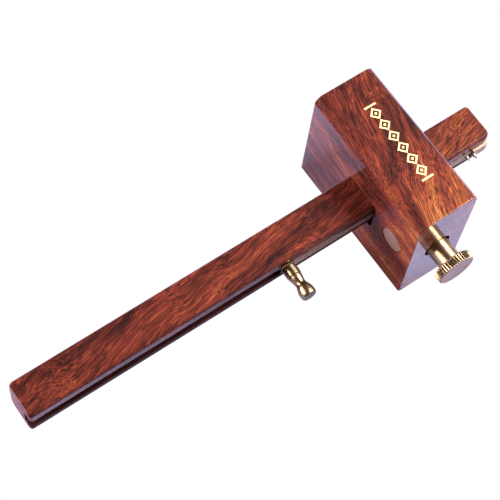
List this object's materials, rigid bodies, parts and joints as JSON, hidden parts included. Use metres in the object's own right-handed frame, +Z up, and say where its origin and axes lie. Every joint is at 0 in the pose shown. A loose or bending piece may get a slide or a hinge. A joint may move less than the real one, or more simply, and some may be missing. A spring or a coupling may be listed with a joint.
{
  "type": "marking gauge",
  "caption": "Combined mortise and marking gauge: wooden stock sliding on a grooved beam, locked by a knurled brass thumbscrew, with a brass slide setting the mortise pins.",
  "frame": {"origin": "centre of the stock's bottom face, which the gauge rests on", "axes": "+X along the beam towards the pins, -Y towards the thumbscrew, +Z up through the stock's rounded top"},
  "size_m": [0.216, 0.081, 0.058],
  "materials": {
    "stock_rosewood": "gloss lacquered rosewood",
    "beam_rosewood": "gloss lacquered rosewood",
    "polished_brass": "polished, turned",
    "drawn_brass": "brushed along its length",
    "steel": "ground points"
  },
  "bodies": {
    "stock": {"stock": "stock_rosewood", "barrel_nut": "drawn_brass"},
    "beam": {"beam": "beam_rosewood", "fixed_plate": "drawn_brass", "plate_brad": "drawn_brass", "fixed_pin": "steel", "marking_pin": "steel"},
    "slide": {"slide_bar": "drawn_brass", "slide_knob": "polished_brass", "sliding_pin": "steel"},
    "shoe": {"pressure_shoe": "drawn_brass"},
    "thumbscrew": {"thumbscrew": "polished_brass"}
  },
  "joints": [
    {"name": "beam_slide", "type": "slide", "parent": "stock", "child": "beam", "axis": [1, 0, 0], "range_m": [-0.009, 0.033]},
    {"name": "pin_slide", "type": "slide", "parent": "beam", "child": "slide", "axis": [1, 0, 0], "range_m": [-0.01, 0.0007]},
    {"name": "shoe_slide", "type": "slide", "parent": "stock", "child": "shoe", "axis": [0, -1, 0], "range_m": [0, 0.003]},
    {"name": "screw_turn", "type": "hinge", "parent": "shoe", "child": "thumbscrew", "pos_m": [0, -0.0344, 0.029], "axis": [0, -1, 0], "range_deg": [0, 1080]}
  ],
  "couplings": [
    {"joint": "screw_turn", "follows": "shoe_slide", "rad_per_m": 6283.2}
  ]
}
